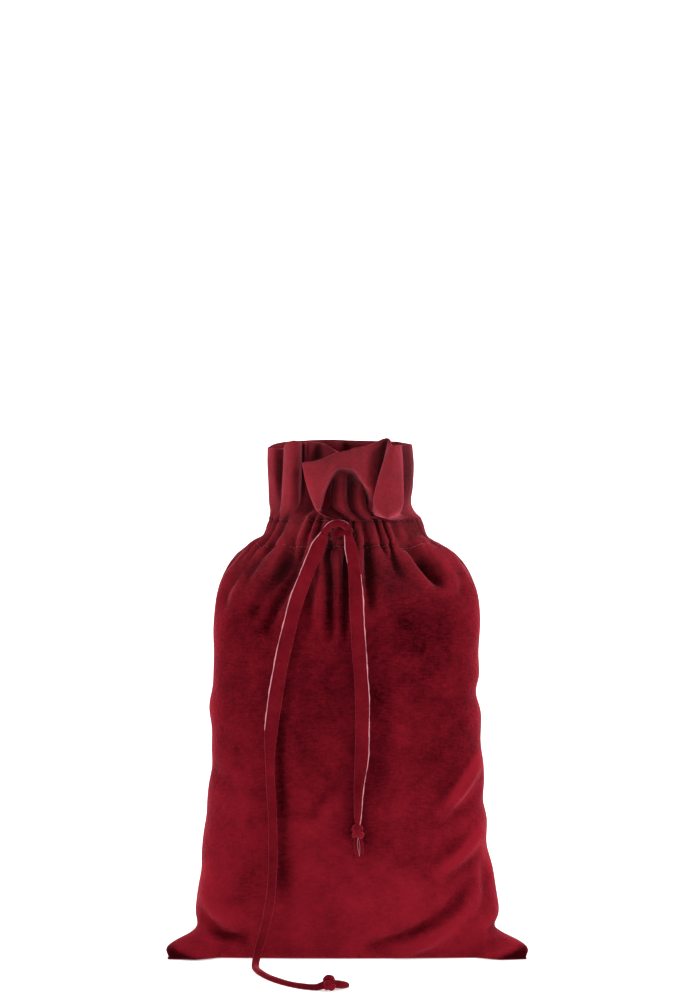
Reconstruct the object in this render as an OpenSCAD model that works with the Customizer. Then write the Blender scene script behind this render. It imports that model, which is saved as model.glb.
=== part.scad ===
// Fabric gift sack: a flat-sewn velvet bag that stands filled, with a heading
// above a drawstring channel that is pulled in and half-knotted at the front.
// Millimetres. +Z is up, -Y is the front, and the origin is on the floor under
// the middle of the sack.

/* [Sack] */
// Width of the sack when it lies flat, ear to ear
flat_width = 400; // [380:5:420]
// Width of the filled body at half its height
body_width = 298; // [284:2:310]
// Depth of the filled body, front to back
body_depth = 158; // [150:2:170]
// Height of the tied sack, floor to the top of the heading
sack_height = 566; // [556:2:580]

/* [Neck] */
// Width of the gathered neck
neck_width = 166; // [156:2:176]
// Depth of the gathered neck
neck_depth = 88; // [82:2:96]
// Height of the heading above the channel
heading_height = 90; // [84:2:96]
// Height of the drawstring channel
channel_height = 28; // [26:1:30]

/* [Cloth] */
// Thickness of one layer of velvet
cloth = 2; // [1.6:0.1:2.2]
// Room left inside the channel for the drawstring
channel_room = 6; // [5:0.5:7]
// Thickness of a line of stitching
thread = 0.6; // [0.4:0.1:0.8]

/* [Drawstring] */
// Width of the folded velvet strip
strip_width = 15; // [13:1:16]
// Thickness of the folded velvet strip
strip_thick = 3; // [2:0.5:3.5]
// Radius of an end knot
knot_radius = 8; // [7:0.5:9]

/* [Hidden] */
$fn = 48;

ear_x = flat_width / 2;
body_x = body_width / 2;
body_y = body_depth / 2;
neck_x = neck_width / 2;
neck_y = neck_depth / 2;
neck_z = sack_height - heading_height;
channel_z = neck_z - channel_height;

FRONT = 1;
BACK = -1;

// Levels up the sack. Each gives the side seam's x, y and z, the y and z of the
// front's middle, the y and z of the back's middle, and how the section closes:
// 1 is an ellipse, and less than 1 is squarer.
LEVELS = [
    // the bottom seam, which runs along the foot of the front, and its ears
    [ear_x, -0.58 * body_y, 0, -0.72 * body_y, 0, -0.72 * body_y, 0, 0.5],
    [0.95 * ear_x, -0.4 * body_y, 15, -0.83 * body_y, 24, -0.1 * body_y, 0, 0.5],
    [0.865 * ear_x, -0.15 * body_y, 28, -0.91 * body_y, 57, 0.58 * body_y, 2, 0.6],
    // the lower body
    [1.11 * body_x, 0, 0.13 * channel_z, -0.97 * body_y, 98, 0.89 * body_y, 28, 0.75],
    [1.07 * body_x, 0, 0.25 * channel_z, -body_y, 148, 0.99 * body_y, 86, 0.9],
    [1.03 * body_x, 0, 0.38 * channel_z, -body_y, 200, body_y, 150, 1],
    // the upper body
    [body_x, 0, 0.51 * channel_z, -0.99 * body_y, 250, 0.99 * body_y, 216, 1],
    [0.99 * body_x, 0, 0.65 * channel_z, -0.95 * body_y, 298, 0.95 * body_y, 282, 1],
    [0.99 * body_x, 0, 0.77 * channel_z, -0.89 * body_y, 347, 0.89 * body_y, 341, 1],
    // the shoulder
    [0.965 * body_x, 0, 0.88 * channel_z, -0.81 * body_y, 394, 0.81 * body_y, 394, 1],
    [0.89 * body_x, 0, channel_z - 24, -0.73 * body_y, channel_z - 24, 0.73 * body_y, channel_z - 24, 1],
    // the channel's lower and upper stitch lines
    [1.29 * neck_x, 0, channel_z, -1.16 * neck_y, channel_z, 1.16 * neck_y, channel_z, 1],
    [1.01 * neck_x, 0, neck_z, -0.98 * neck_y, neck_z, 0.98 * neck_y, neck_z, 1],
    // the heading
    [0.98 * neck_x, 0, neck_z + 29, -0.95 * neck_y, neck_z + 29, 0.95 * neck_y, neck_z + 29, 1],
    [0.99 * neck_x, 0, neck_z + 60, -neck_y, neck_z + 60, neck_y, neck_z + 60, 1],
    [neck_x, 0, sack_height, -1.08 * neck_y, sack_height, 1.05 * neck_y, sack_height, 1]
];
// Level numbers at the channel's stitch lines and at the top
CHANNEL_FOOT = 11;
CHANNEL_HEAD = 12;
TOP = len(LEVELS) - 1;

// The cloth's grid: columns run from side seam to side seam, rows run up the sack.
COLUMNS = 24;
STITCH = 0.05;
ROWS = [
    for (v = [0 : 0.5 : CHANNEL_FOOT]) v,
    CHANNEL_FOOT + STITCH,
    CHANNEL_FOOT + 0.33,
    CHANNEL_FOOT + 0.67,
    CHANNEL_HEAD - STITCH,
    CHANNEL_HEAD,
    for (v = [CHANNEL_HEAD + 0.6 : 0.6 : TOP]) v
];
// Row numbers of the channel's two stitch lines, of its middle and of the top
FOOT_ROW = 2 * CHANNEL_FOOT;
MIDDLE_ROW = FOOT_ROW + 2;
HEAD_ROW = FOOT_ROW + 5;
LAST_ROW = len(ROWS) - 1;

// Columns of the two buttonholes in the front, just left of its middle
LEFT_HOLE = 10;
RIGHT_HOLE = 12;
hole_level = CHANNEL_FOOT + 0.5;
// Depth of the channel's middle under the skin
mid_channel = cloth + channel_room / 2;

// Where each tail leaves the half knot, which is the axis it lifts about
tie_y = -62;
tie_z = 461;
tie_gap = strip_thick / 2 + 1.4;

// Width that the strip is squeezed to in the half knot
strand_width = 7;

// Routes of the tails, through their end knots. Each point ends with the way the strip faces, in degrees:
// 0 faces the front and 90 faces up.
LEFT_ROUTE = [
    [-24, tie_y, tie_z, 0],
    [-31, -63, 448, 0],
    [-39, -65, 430, 0],
    [-47, -67, 410, 0],
    [-55, -70, 388, 0],
    [-62, -72, 362, 0],
    [-69, -74, 332, 0],
    [-75, -75, 300, 0],
    [-80, -76, 266, 0],
    [-83, -77, 234, 0],
    [-83, -78, 202, 0],
    [-81, -79, 170, 0],
    [-80, -80, 138, 0],
    [-80, -80, 106, 0],
    [-82, -80, 74, 0],
    [-87, -80, 46, 0],
    [-93, -82, 24, 15],
    [-97, -87, 9, 45],
    [-98, -97, 3, 80],
    [-96, -112, 2, 90],
    [-90, -130, 2, 90],
    [-79, -151, 2, 90],
    [-64, -170, 2, 90],
    [-48, -183, 2, 90],
    [-33, -191, 3, 90],
    [-22, -195, 7, 90],
    [-11, -190, 6, 90],
    [-2, -178, 2, 90]
];
RIGHT_ROUTE = [
    [1, tie_y, tie_z, 0],
    [4, -64, 446, 0],
    [7, -66, 426, 0],
    [9, -70, 404, 0],
    [10, -74, 379, 0],
    [12, -78, 347, 0],
    [14, -81, 315, 0],
    [16, -83, 283, 0],
    [16, -84, 251, 0],
    [15, -85, 219, 0],
    [12, -86, 187, 0],
    [11, -87, 160, 0],
    [11, -87, 144, 0],
    [12, -87, 130, 0],
    [13, -86, 116, 0]
];
// Where the end knots sit on the tails
LEFT_KNOT = [-19, -195, knot_radius];
RIGHT_KNOT = [11, -87, 143];

// The half knot's two crossing strands, from their buttonholes to their tails
OVER_STRAND = [
    [-18, -42, 460, 90],
    [-18, -50, 461, 85],
    [-17, -57, 463, 60],
    [-13, -63, 467, 30],
    [-6, -67, 469, 10],
    [0, -64, 468, 0],
    [1, tie_y, tie_z + tie_gap, 0]
];
UNDER_STRAND = [
    [6, -42, 460, 90],
    [6, -49, 461, 85],
    [5, -54, 465, 50],
    [0, -57, 470, 20],
    [-9, -59, 474, 10],
    [-18, -60, 473, 0],
    [-23, -61, 468, 0],
    [-24, tie_y, tie_z + tie_gap, 0]
];

// ---------- the sack's surface ----------

// A smooth curve through b and c, with a and d as the points on either side
function smooth(a, b, c, d, t) =
    0.5 * (2 * b + (c - a) * t + (2 * a - 5 * b + 4 * c - d) * t * t
        + (3 * b - a - 3 * c + d) * t * t * t);

function level(v) =
    let (k = min(floor(v), TOP - 1))
    smooth(LEVELS[max(k - 1, 0)], LEVELS[k], LEVELS[k + 1], LEVELS[min(k + 2, TOP)], v - k);

// A point of the outer skin. u runs from -1 at the left side seam to 1 at the
// right one, v is the level, and nothing goes below the floor.
function skin(side, u, v) =
    let (
        s = level(v),
        roundness = min(v / 4, 1),
        across = u * (1 - roundness) + sin(90 * u) * roundness,
        outward = pow(max(cos(90 * u), 0), s[7]),
        middle_y = side == FRONT ? s[3] : s[5],
        middle_z = side == FRONT ? s[4] : s[6]
    )
    [
        s[0] * across,
        s[1] + (middle_y - s[1]) * outward,
        max(0, s[2] + (middle_z - s[2]) * outward)
    ];

// The way into the sack from a point of the skin. Both panels share it at the seams.
function inward(side, u, v) =
    abs(u) > 0.999 ? [-sign(u), 0, 0] :
    v < 0.001 ? [0, 1, 1] :
    let (
        e = 0.01,
        along = skin(side, u + e, v) - skin(side, u - e, v),
        up = skin(side, u, v + e) - skin(side, u, v - e),
        n = cross(along, up)
    )
    -side * n / norm(n);

// How far the facing stands off the panel: only inside the channel
function room(v) =
    v > CHANNEL_FOOT && v < CHANNEL_HEAD
        ? channel_room * pow(sin(180 * (v - CHANNEL_FOOT)), 0.5) : 0;

function column(i) = 2 * i / COLUMNS - 1;

// A four-cornered face as two triangles
function two(a, b, c, d) = [[b, c, d], [b, d, a]];

// One layer of cloth between two depths under the skin. cols and rows are the first
// and last lines of the grid, and a layer that lines the channel leaves it its room.
// holes lists the cells left open.
module layer(side, cols, rows, from, to, lining = 0, holes = []) {
    nc = cols[1] - cols[0];
    nr = rows[1] - rows[0];
    layer_points = [
        for (depth = [from, to])
            for (i = [0 : nc])
                for (j = [0 : nr])
                    let (u = column(cols[0] + i), v = ROWS[rows[0] + j])
                    skin(side, u, v) + inward(side, u, v) * (depth + lining * room(v))
    ];
    function o(i, j) = i * (nr + 1) + j;
    function n(i, j) = o(i, j) + (nc + 1) * (nr + 1);
    function open(i, j) =
        i < 0 || i >= nc || j < 0 || j >= nr
        || len([for (h = holes) if (h[0] == cols[0] + i && h[1] == rows[0] + j) 1]) > 0;
    sheet_faces = [
        for (i = [0 : nc - 1])
            for (j = [0 : nr - 1])
                if (!open(i, j)) each [
                    each two(o(i, j), o(i, j + 1), o(i + 1, j + 1), o(i + 1, j)),
                    each two(n(i, j), n(i + 1, j), n(i + 1, j + 1), n(i, j + 1)),
                    each open(i - 1, j) ? two(n(i, j), n(i, j + 1), o(i, j + 1), o(i, j)) : [],
                    each open(i + 1, j)
                        ? two(o(i + 1, j), o(i + 1, j + 1), n(i + 1, j + 1), n(i + 1, j)) : [],
                    each open(i, j - 1) ? two(o(i, j), o(i + 1, j), n(i + 1, j), n(i, j)) : [],
                    each open(i, j + 1)
                        ? two(o(i + 1, j + 1), o(i, j + 1), n(i, j + 1), n(i + 1, j + 1)) : []
                ]
    ];
    polyhedron(layer_points, [for (f = sheet_faces) side == FRONT ? f : [f[2], f[1], f[0]]]);
}

// ---------- swept strips ----------

function xyz(p) = [p[0], p[1], p[2]];
function unit(a) = a / norm(a);

// A flattened tube through the given points. facings holds the way its broad side
// faces at each of them.
module swept_strip(path, facings, width, thick = strip_thick, sides = 8) {
    last = len(path) - 1;
    ring_points = [
        for (k = [0 : last])
            let (
                t = unit(path[min(k + 1, last)] - path[max(k - 1, 0)]),
                across = unit(cross(t, facings[k])),
                face = cross(across, t)
            )
            for (a = [0 : sides - 1])
                path[k]
                    + across * cos(360 * a / sides) * width / 2
                    + face * sin(360 * a / sides) * thick / 2
    ];
    wall = [
        for (k = [0 : last - 1])
            for (a = [0 : sides - 1])
                let (b = (a + 1) % sides)
                each two(k * sides + a, k * sides + b, (k + 1) * sides + b, (k + 1) * sides + a)
    ];
    polyhedron(ring_points, [
        each wall,
        [for (a = [0 : sides - 1]) sides - 1 - a],
        [for (a = [0 : sides - 1]) last * sides + a]
    ]);
}

// A strip along a route, whose points each end with the angle that they face
module strip(route, width = strip_width) {
    swept_strip(
        [for (p = route) xyz(p)],
        [for (p = route) [0, -cos(p[3]), sin(p[3])]],
        width
    );
}

// A pulled-tight overhand knot: a thick ring with its middle drawn in
module end_knot() {
    rotate_extrude()
        intersection() {
            translate([0.42 * knot_radius, 0]) circle(0.58 * knot_radius);
            translate([0, -knot_radius]) square(2 * knot_radius);
        }
}

// ---------- the pieces ----------

module front_panel() {
    color("#6e1020")
        layer(FRONT, [0, COLUMNS], [0, LAST_ROW], 0, cloth,
            holes = [[LEFT_HOLE, MIDDLE_ROW], [RIGHT_HOLE, MIDDLE_ROW]]);
}

module back_panel() {
    color("#640e1c")
        layer(BACK, [0, COLUMNS], [0, LAST_ROW], 0, cloth);
}

// The hem turned down inside the heading, which also backs the channel
module front_facing() {
    color("#5a0c18")
        layer(FRONT, [0, COLUMNS], [FOOT_ROW, LAST_ROW], cloth, 2 * cloth, lining = 1);
}

module back_facing() {
    color("#5a0c18")
        layer(BACK, [0, COLUMNS], [FOOT_ROW, LAST_ROW], cloth, 2 * cloth, lining = 1);
}

// The seams' turnings, pressed against the inside of the back
module left_side_seam() {
    color("#7c1a2a")
        layer(BACK, [0, 1], [4, FOOT_ROW], cloth, 2 * cloth);
}

module right_side_seam() {
    color("#7c1a2a")
        layer(BACK, [COLUMNS - 1, COLUMNS], [4, FOOT_ROW], cloth, 2 * cloth);
}

module bottom_seam() {
    color("#7c1a2a")
        layer(BACK, [3, COLUMNS - 3], [0, 1], cloth, 2 * cloth);
}

// A line of stitching that goes all the way round, standing on the cloth
module stitch_line(row) {
    for (side = [FRONT, BACK])
        layer(side, [0, COLUMNS], [row, row + 1], -thread, 0);
}

module channel_top_stitching() {
    color("#d8a0a6") stitch_line(HEAD_ROW - 1);
}

module channel_bottom_stitching() {
    color("#d8a0a6") stitch_line(FOOT_ROW);
}

// The worked edge round a buttonhole, laid on the sloping channel
module buttonhole(i) {
    u = (column(i) + column(i + 1)) / 2;
    lean = atan2(1.16 * neck_y - 0.98 * neck_y, channel_height);
    edge = 2;
    hole = [neck_x * 1.15 * 180 / COLUMNS * PI / 180, channel_height / 3];
    translate(skin(FRONT, u, hole_level))
        rotate([90 - lean, 0, 0])
        linear_extrude(1)
            difference() {
                square(hole + [edge, edge], center = true);
                square(hole - [edge, edge] / 2, center = true);
            }
}

module left_buttonhole() {
    color("#8e2a38") buttonhole(LEFT_HOLE);
}

module right_buttonhole() {
    color("#8e2a38") buttonhole(RIGHT_HOLE);
}

// The stretch of drawstring inside the channel, from buttonhole to buttonhole
module channel_drawstring() {
    function hole_u(i) = (column(i) + column(i + 1)) / 2;
    around = [
        for (u = [hole_u(RIGHT_HOLE) : 0.08 : 0.96]) [FRONT, u],
        for (u = [1 : -0.08 : -0.96]) [BACK, u],
        for (u = [-1 : 0.08 : hole_u(LEFT_HOLE)]) [FRONT, u]
    ];
    color("#701020")
        swept_strip(
            [for (p = around)
                skin(p[0], p[1], hole_level) + inward(p[0], p[1], hole_level) * mid_channel],
            [for (p = around) -inward(p[0], p[1], hole_level)],
            width = channel_height / 3
        );
}

module drawstring_half_knot() {
    color("#7c1828") {
        strip(OVER_STRAND, strand_width);
        strip(UNDER_STRAND, strand_width);
    }
}

module left_tail() {
    color("#701020") strip(LEFT_ROUTE);
}

module right_tail() {
    color("#701020") strip(RIGHT_ROUTE);
}

module left_end_knot() {
    color("#7c1828") translate(LEFT_KNOT) rotate([0, 90, 0]) end_knot();
}

module right_end_knot() {
    color("#7c1828") translate(RIGHT_KNOT) end_knot();
}

front_panel();
back_panel();
front_facing();
back_facing();
left_side_seam();
right_side_seam();
bottom_seam();
channel_top_stitching();
channel_bottom_stitching();
left_buttonhole();
right_buttonhole();
channel_drawstring();
drawstring_half_knot();
left_tail();
left_end_knot();
right_tail();
right_end_knot();
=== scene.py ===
"""Fabric gift sack: burgundy velvet, gathered by a drawstring half-knotted in front.

The cloth is one grid that runs round the sack and up it. It is laid in the filled
shape, relaxed as a cloth of fixed length in both directions, and then cut into its
front and back pieces. Millimetres are used throughout and turned to metres when a
mesh is made.
"""
import math
import bpy
import numpy as np
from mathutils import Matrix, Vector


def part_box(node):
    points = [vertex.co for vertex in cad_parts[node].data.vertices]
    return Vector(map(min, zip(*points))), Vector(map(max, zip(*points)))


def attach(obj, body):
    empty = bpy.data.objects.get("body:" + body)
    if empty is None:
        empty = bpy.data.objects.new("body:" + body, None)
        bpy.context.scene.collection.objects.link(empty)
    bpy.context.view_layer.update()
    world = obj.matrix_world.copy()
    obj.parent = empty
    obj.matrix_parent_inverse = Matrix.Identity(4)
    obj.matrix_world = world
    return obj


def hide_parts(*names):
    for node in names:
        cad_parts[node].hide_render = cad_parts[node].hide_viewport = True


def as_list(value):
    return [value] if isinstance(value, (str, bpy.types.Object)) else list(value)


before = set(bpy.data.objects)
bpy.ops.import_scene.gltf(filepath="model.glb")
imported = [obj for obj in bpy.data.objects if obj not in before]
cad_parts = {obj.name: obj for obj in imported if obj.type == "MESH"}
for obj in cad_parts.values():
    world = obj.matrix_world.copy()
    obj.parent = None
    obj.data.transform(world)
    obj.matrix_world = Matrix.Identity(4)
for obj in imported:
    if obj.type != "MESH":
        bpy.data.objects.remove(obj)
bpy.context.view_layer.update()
MM = 0.001

# ---- camera
CAMERA_AT = (-0.0095, -2.166, 0.498)
LENS = 70


def make_camera():
    data = bpy.data.cameras.new("camera")
    data.lens = LENS
    data.sensor_width = 36
    camera = bpy.data.objects.new("camera", data)
    camera.location = CAMERA_AT
    camera.rotation_euler = (math.radians(90), 0, 0)
    bpy.context.scene.collection.objects.link(camera)
    bpy.context.scene.camera = camera


make_camera()


# ---- mesh tools
def spline(a, b, c, d, t):
    """The place t of the way from b to c on the Catmull-Rom curve through a, b, c and d."""
    return 0.5 * (2 * b + (c - a) * t + (2 * a - 5 * b + 4 * c - d) * t**2
                  + (3 * b - a - 3 * c + d) * t**3)


def smooth_curve(points, count):
    """A smooth curve through the points, as count samples at equal distances."""
    p = np.asarray(points, float)
    p = np.vstack([2 * p[0] - p[1], p, 2 * p[-1] - p[-2]])
    t = np.linspace(0, 1, 24, endpoint=False)[:, None]
    parts = [spline(a, b, c, d, t) for a, b, c, d in zip(p[:-3], p[1:-2], p[2:-1], p[3:])]
    return resample(np.vstack(parts + [p[-2:-1]]), count)


def resample(curve, count):
    """count points at equal distances along a polyline. Columns past the third ride along."""
    step = norm(np.diff(curve[:, :3], axis=0))
    at = np.concatenate([[0], np.cumsum(step)])
    want = np.linspace(0, at[-1], count)
    return np.stack([np.interp(want, at, curve[:, k]) for k in range(curve.shape[1])], axis=1)


def norm(v):
    return np.linalg.norm(v, axis=-1)


def length_of(curve):
    return float(norm(np.diff(curve[:, :3], axis=0)).sum())


def unit(v):
    return v / np.maximum(norm(v)[..., None], 1e-9)


def clamped(share):
    return np.clip(share, 0, 1)


def hump(gap, reach):
    """1 where there is no gap, and next to nothing at twice the reach."""
    return np.exp(-(gap / reach) ** 2)


def make_object(name, points, faces, material, uv=None):
    """A mesh object from points in millimetres."""
    mesh = bpy.data.meshes.new(name)
    mesh.from_pydata((np.asarray(points) * MM).tolist(), [], [list(map(int, f)) for f in faces])
    mesh.update()
    if uv is not None:
        layer = mesh.uv_layers.new(name="cloth")
        loops = np.empty(len(mesh.loops), int)
        mesh.loops.foreach_get("vertex_index", loops)
        layer.data.foreach_set("uv", np.asarray(uv, float)[loops].ravel())
    mesh.polygons.foreach_set("use_smooth", [True] * len(mesh.polygons))
    mesh.materials.append(material)
    piece = bpy.data.objects.new(name, mesh)
    bpy.context.scene.collection.objects.link(piece)
    return piece


def tube_mesh(rings):
    """Points and faces of a closed tube from rings, an array of ring by side by xyz."""
    count, sides = rings.shape[:2]
    around = [(a, (a + 1) % sides) for a in range(sides)]
    faces = [(k * sides + a, k * sides + b, (k + 1) * sides + b, (k + 1) * sides + a)
             for k in range(count - 1) for a, b in around]
    points = [rings.reshape(-1, 3), rings[0].mean(0)[None], rings[-1].mean(0)[None]]
    last, middle = (count - 1) * sides, count * sides
    for a, b in around:
        faces.extend([(middle, b, a), (middle + 1, last + a, last + b)])
    return np.vstack(points), faces


def swept(centres, facing, width, thick, sides=16, squareness=0.65):
    """Rings of a flattened tube along centres, its broad side turned to facing."""
    centres = np.asarray(centres, float)
    tangent = unit(np.gradient(centres, axis=0))
    across = unit(np.cross(tangent, facing))
    face = np.cross(across, tangent)
    a = np.linspace(0, 2 * math.pi, sides, endpoint=False)
    ca, sa = (np.sign(wave) * np.abs(wave) ** squareness for wave in (np.cos(a), np.sin(a)))
    width, thick = (np.broadcast_to(np.asarray(size, float), len(centres))[:, None, None]
                    for size in (width, thick))
    rings = (centres[:, None] + across[:, None] * ca[None, :, None] * width / 2
             + face[:, None] * sa[None, :, None] * thick / 2)
    return rings, across, face


def tube(centres, facing, width, thick, sides=16, squareness=0.65):
    """Points and faces of a flattened tube along centres."""
    return tube_mesh(swept(centres, facing, width, thick, sides, squareness)[0])


def joined(parts):
    """Points and faces of several meshes as one."""
    points, faces, first = [], [], 0
    for p, f in parts:
        points.append(p)
        faces.extend([tuple(first + i for i in face) for face in f])
        first += len(p)
    return np.vstack(points), faces


def hand_over(piece, body, node=None):
    """Put a piece on its body, and in place of its CAD node if it has one."""
    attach(piece, body)
    if node:
        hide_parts(node)
    return piece


# ---- materials
def new_material(name, colour):
    """A material, its node tree and its shader."""
    material = bpy.data.materials.new(name)
    material.use_nodes = True
    material.diffuse_color = (*colour, 1)
    tree = material.node_tree
    return material, tree, tree.nodes["Principled BSDF"]


def feed(tree, socket, value):
    """Give an input a value, or link it to another node's output."""
    if isinstance(value, bpy.types.NodeSocket):
        tree.links.new(value, socket)
    else:
        socket.default_value = value


def set_up(tree, node, values):
    """Give a node its inputs and its settings by name."""
    for key, value in values.items():
        if key in node.inputs:
            feed(tree, node.inputs[key], value)
        else:
            setattr(node, key, value)
    return node


def add(tree, kind, **values):
    return set_up(tree, tree.nodes.new(kind), values)


def combined(tree, operation, *values):
    """What a math node makes of some values and other nodes' outputs."""
    node = add(tree, "ShaderNodeMath", operation=operation)
    for socket, value in zip(node.inputs, values):
        feed(tree, socket, value)
    return node.outputs[0]


def noise(tree, vector, scale, detail, roughness):
    return add(tree, "ShaderNodeTexNoise", Vector=vector, Scale=scale, Detail=detail,
               Roughness=roughness).outputs["Fac"]


def stretched(tree, vector, scale):
    return add(tree, "ShaderNodeMapping", Vector=vector, Scale=scale).outputs["Vector"]


def stepped(tree, value, start, end, low=0.0, high=1.0):
    """A smooth step from low, where the value is at start, to high, where it is at end."""
    sockets = {"Value": value, "From Min": start, "From Max": end, "To Min": low, "To Max": high}
    return add(tree, "ShaderNodeMapRange", interpolation_type="SMOOTHSTEP",
               **sockets).outputs["Result"]


def ramp(tree, factor, *stops):
    """A colour between two stops, each given as its place and its colour."""
    node = add(tree, "ShaderNodeValToRGB", Fac=factor)
    for element, (place, colour) in zip(node.color_ramp.elements, stops):
        element.position = place
        element.color = (*colour, 1)
    return node.outputs["Color"]


def velvet(name, deep, light, pile=1.0, floor_bounce_lift=0.0, heading_tint=(0, 0, 0)):
    """Cut-pile velvet: colour that drifts with the nap, a fine rib, and a soft sheen.
    The mesh's attribute of painted light and shade makes it lighter on ridges and painted
    highlights, and darker in creases and painted shadows."""
    material, tree, shader = new_material(name, deep)
    place = add(tree, "ShaderNodeTexCoord").outputs["Object"]
    height = add(tree, "ShaderNodeSeparateXYZ", Vector=place).outputs["Z"]
    uv = add(tree, "ShaderNodeUVMap", uv_map="cloth").outputs["UV"]
    # the nap is brushed in soft patches, and the rows of tufts show as short streaks
    patches = noise(tree, place, 13.0, 8.0, 0.76)
    fine = noise(tree, place, 380.0, 4.0, 0.75)
    streaks = noise(tree, stretched(tree, uv, (110.0, 430.0, 1.0)), 1.0, 3.0, 0.6)
    pile_and_painted_light = combined(tree, "MULTIPLY_ADD", fine, 0.42, patches)
    pile_and_painted_light = combined(tree, "MULTIPLY_ADD", streaks, 0.36, pile_and_painted_light)
    # painted light and shade carried on the mesh, added to the pile's tone
    painted_light_attribute = add(tree, "ShaderNodeAttribute", attribute_name="pile_and_painted_light").outputs["Fac"]
    pile_and_painted_light = combined(tree, "ADD", pile_and_painted_light, painted_light_attribute)
    # painted light: lighter low down, standing in for the light that the floor throws up onto the
    # sack
    painted_floor_bounce = stepped(tree, height, 0.26, 0.04, -0.26, -0.26 + floor_bounce_lift)
    pile_and_painted_light = combined(tree, "ADD", pile_and_painted_light, painted_floor_bounce)
    colour = ramp(tree, pile_and_painted_light, (0.40, deep), (1.0, light))
    # higher up, over the shoulders and the heading, the colour is made lighter and greyer
    lighter_higher_up = add(tree, "ShaderNodeMix", data_type="RGBA", blend_type="ADD")
    feed(tree, lighter_higher_up.inputs[0], stepped(tree, height, 0.36, 0.52))
    feed(tree, lighter_higher_up.inputs[6], colour)
    feed(tree, lighter_higher_up.inputs[7], (*heading_tint, 1))
    # the woven ground shows as faint ribs across the cloth
    ribs = add(tree, "ShaderNodeTexWave", Vector=stretched(tree, uv, (30.0, 250.0, 1.0)),
               Scale=1.0, Distortion=2.5, Detail=2.0, bands_direction="Y").outputs["Fac"]
    tufts = noise(tree, place, 900.0, 2.0, 0.7)
    relief = combined(tree, "MULTIPLY_ADD", ribs, 0.25, tufts)
    woven_ground = add(tree, "ShaderNodeBump", Strength=0.35 * pile, Distance=0.0006,
                       Height=relief)
    brushed = add(tree, "ShaderNodeBump", Strength=0.6 * pile, Distance=0.006,
                  Height=patches, Normal=woven_ground.outputs["Normal"])
    set_up(tree, shader, {"Base Color": lighter_higher_up.outputs[2], "Normal": brushed.outputs["Normal"],
                          "Roughness": 0.85, "Specular IOR Level": 0.0, "Sheen Weight": 0.6,
                          "Sheen Roughness": 0.32, "Sheen Tint": (1.0, 0.18, 0.25, 1)})
    return material


def woven(name, colour, dark, scale=1400.0):
    """Thread and raw cut edges: fine light and dark strands."""
    material, tree, shader = new_material(name, colour)
    place = add(tree, "ShaderNodeTexCoord").outputs["Object"]
    strands = noise(tree, place, scale, 3.0, 0.7)
    bump = add(tree, "ShaderNodeBump", Strength=0.5, Distance=0.0004, Height=strands)
    set_up(tree, shader, {"Base Color": ramp(tree, strands, (0.3, dark), (0.6, colour)),
                          "Normal": bump.outputs["Normal"], "Roughness": 0.8,
                          "Sheen Weight": 0.2})
    return material


# the sack's velvet is painted lighter low down, standing in for light from the floor
VELVET = velvet("velvet", (0.022, 0.0006, 0.0017), (0.182, 0.0068, 0.0140),
                floor_bounce_lift=0.21, heading_tint=(0.026, 0.0080, 0.0090))
INSIDE = velvet("velvet_inside", (0.042, 0.0012, 0.0028), (0.096, 0.0035, 0.0068))
STRIP = velvet("drawstring_velvet", (0.050, 0.0014, 0.0036), (0.170, 0.0070, 0.0140), pile=0.7)
# painted light: the knots' velvet has a darker deep tone and a lighter light tone than the
# strip's, standing in for the highlight and shade on them
KNOT_PAINTED_LIGHT = velvet("knot_velvet_painted_light", (0.030, 0.0010, 0.0022), (0.300, 0.0110, 0.0240))
RAW_EDGE = woven("raw_edge", (0.60, 0.25, 0.28), (0.30, 0.07, 0.10))
THREAD = woven("sewing_thread", (0.25, 0.050, 0.065), (0.13, 0.016, 0.024))
BINDING = woven("buttonhole_thread", (0.065, 0.005, 0.009), (0.030, 0.002, 0.004))
SEAM_INSIDE = woven("seam_turning", (0.12, 0.012, 0.02), (0.05, 0.003, 0.006), 700.0)

# ---- drawstring tails
FLOOR_GAP = 0.3  # what lies on the floor stays this far above it
END_SAMPLES = 24  # points along a strip's end, past its knot
STRIP_WIDTH = 15.0
STRIP_THICK = 4.0  # its two folded layers, with their pile
# the tails' routes, as in the CAD model: x, y, z and the angle that the strip faces
LEFT_ROUTE = [
    (-24, -62, 461, 0), (-31, -63, 448, 0), (-39, -65, 430, 0), (-47, -67, 410, 0),
    (-55, -70, 388, 0), (-62, -72, 362, 0), (-69, -74, 332, 0), (-75, -75, 300, 0),
    (-80, -76, 266, 0), (-83, -77, 234, 0), (-83, -78, 202, 0), (-81, -79, 170, 0),
    (-80, -80, 138, 0), (-80, -80, 106, 0), (-82, -80, 74, 0), (-87, -80, 46, 0),
    (-93, -82, 24, 15), (-97, -87, 9, 45), (-98, -97, 3, 80), (-96, -112, 2, 90),
    (-90, -130, 2, 90), (-79, -151, 2, 90), (-64, -170, 2, 90), (-48, -183, 2, 90),
    (-33, -191, 3, 90), (-22, -195, 7, 90), (-11, -190, 6, 90), (-2, -178, 2, 90),
]
RIGHT_ROUTE = [
    (1, -62, 461, 0), (4, -64, 446, 0), (7, -66, 426, 0), (9, -70, 404, 0),
    (10, -74, 379, 0), (12, -78, 347, 0), (14, -81, 315, 0), (16, -83, 283, 0),
    (16, -84, 251, 0), (15, -85, 219, 0), (12, -86, 187, 0), (11, -87, 160, 0),
    (11, -87, 144, 0), (12, -87, 130, 0), (13, -86, 116, 0),
]
LEFT_KNOT = (-19, -195, 8)
RIGHT_KNOT = (11, -87, 143)


def clear_of_floor(rings):
    rings[..., 2] = np.maximum(rings[..., 2], FLOOR_GAP)
    return rings


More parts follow.
